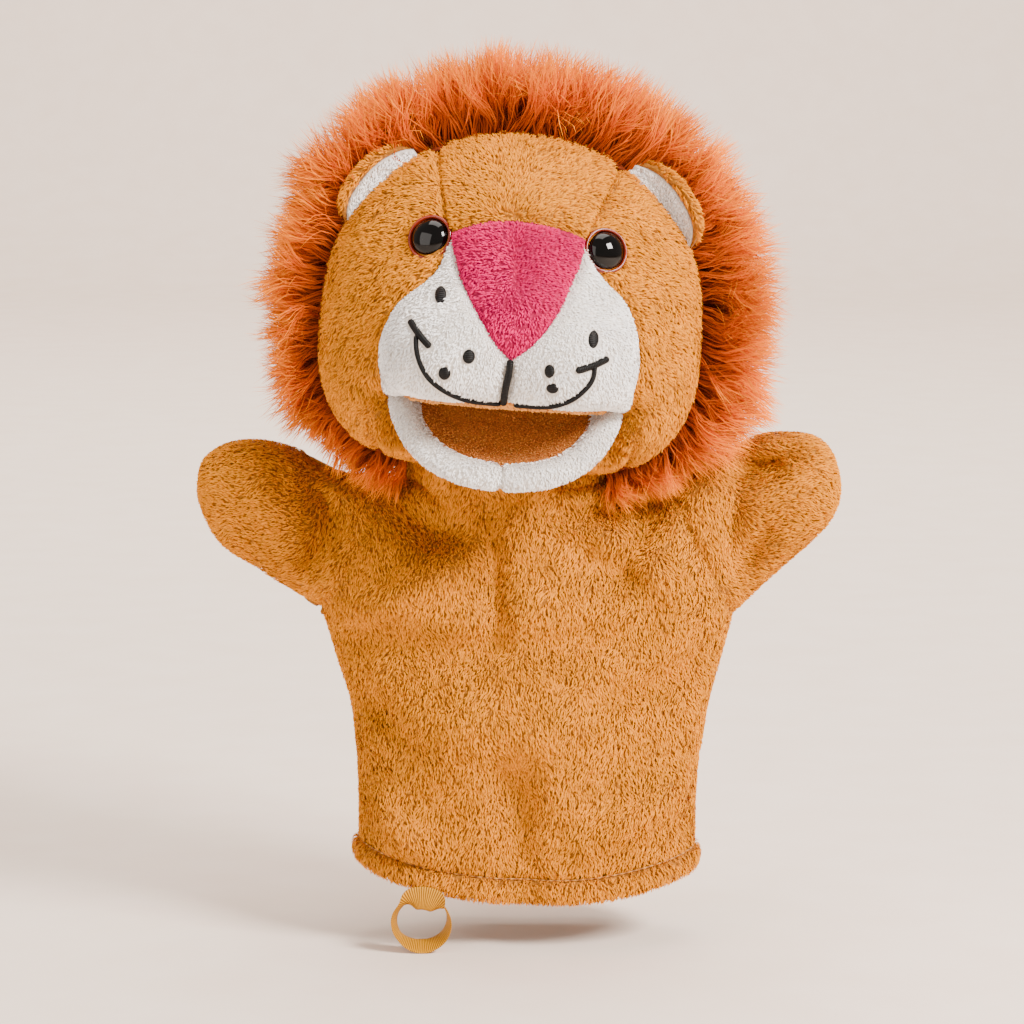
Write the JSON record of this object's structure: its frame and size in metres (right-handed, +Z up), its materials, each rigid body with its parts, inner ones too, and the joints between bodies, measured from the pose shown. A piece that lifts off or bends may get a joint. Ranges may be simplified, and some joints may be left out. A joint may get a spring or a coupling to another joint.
{
  "type": "hand puppet",
  "caption": "Plush lion hand puppet: hollow glove body with two finger arms, stuffed head with opening mouth, long-pile mane and a hanging loop.",
  "frame": {"origin": "centre of the hand opening, on the plane of the hem at the side seams", "axes": "+Z up through the head, the puppet faces -Y, +X to the right of someone facing it"},
  "size_m": [0.1942, 0.1266, 0.2662],
  "materials": {
    "plush_tan": "short dense pile",
    "plush_white": "short dense pile",
    "plush_magenta": "short dense pile",
    "mouth_plush": "short flat pile",
    "mane_fur": "long curled pile",
    "thread_black": "satin stitch",
    "thread_tan": "sewing thread",
    "eye_black": "moulded, polished",
    "eye_amber": "moulded, translucent, polished",
    "washer_plastic": "moulded",
    "stuffing": "loose polyester fibre",
    "lining_knit": "brushed knit",
    "ribbon_gold": "ribbed grosgrain"
  },
  "bodies": {
    "glove": {"torso_front": "plush_tan", "torso_back": "plush_tan", "hem_band": "plush_tan", "hem_stitch": "thread_tan", "loop_tab": "ribbon_gold", "shoulder_fold_left": "plush_tan", "shoulder_fold_right": "plush_tan"},
    "neck": {"neck_sleeve": "plush_tan"},
    "head": {"forehead_gusset": "plush_tan", "face_side_left": "plush_tan", "face_side_right": "plush_tan", "head_back": "mane_fur", "nose_panel": "plush_magenta", "muzzle_left": "plush_white", "muzzle_right": "plush_white", "muzzle_stuffing": "stuffing", "philtrum": "thread_black", "smile_left": "thread_black", "smile_right": "thread_black", "whisker_dots_left": "thread_black", "whisker_dots_right": "thread_black", "mouth_palate": "mouth_plush", "throat_panel": "plush_tan", "finger_pocket": "lining_knit", "head_stuffing": "stuffing", "eye_dome_left": "eye_black", "eye_dome_right": "eye_black", "eye_rim_left": "eye_amber", "eye_rim_right": "eye_amber", "eye_washer_left": "washer_plastic", "eye_washer_right": "washer_plastic", "ear_outer_left": "plush_tan", "ear_outer_right": "plush_tan", "ear_inner_left": "plush_white", "ear_inner_right": "plush_white", "mane_crown": "mane_fur", "mane_nape": "mane_fur", "mane_left": "mane_fur", "mane_right": "mane_fur"},
    "jaw": {"jaw_lip_left": "plush_white", "jaw_lip_right": "plush_white", "mouth_floor": "mouth_plush", "jaw_stuffing": "stuffing", "jaw_underside": "plush_tan"},
    "arm_left": {"arm_front_left": "plush_tan", "arm_back_left": "plush_tan"},
    "arm_right": {"arm_front_right": "plush_tan", "arm_back_right": "plush_tan"},
    "hang_loop": {"hang_loop": "ribbon_gold"}
  },
  "joints": [
    {"name": "head_turn", "type": "hinge", "parent": "glove", "child": "neck", "pos_m": [-0.005, 0.003, 0.118], "axis": [0, 0, 1], "range_deg": [-30, 30], "stiffness_Nm_per_rad": 0.05},
    {"name": "head_nod", "type": "hinge", "parent": "neck", "child": "head", "pos_m": [-0.005, 0.003, 0.127], "axis": [1, 0, 0], "range_deg": [-20, 15], "stiffness_Nm_per_rad": 0.4},
    {"name": "jaw_open", "type": "hinge", "parent": "head", "child": "jaw", "pos_m": [-0.00645, -0.032, 0.14857], "axis": [0.9972, 0, -0.075], "range_deg": [-33, 15], "stiffness_Nm_per_rad": 0.05},
    {"name": "arm_left_swing", "type": "hinge", "parent": "glove", "child": "arm_left", "pos_m": [-0.058, 0, 0.104], "axis": [0, 0, 1], "range_deg": [-15, 40], "stiffness_Nm_per_rad": 0.03},
    {"name": "arm_right_swing", "type": "hinge", "parent": "glove", "child": "arm_right", "pos_m": [0.058, 0, 0.104], "axis": [0, 0, -1], "range_deg": [-15, 40], "stiffness_Nm_per_rad": 0.03},
    {"name": "loop_swing", "type": "hinge", "parent": "glove", "child": "hang_loop", "pos_m": [-0.031, -0.021, -0.0015], "axis": [1, 0, 0], "range_deg": [-40, 40]}
  ]
}
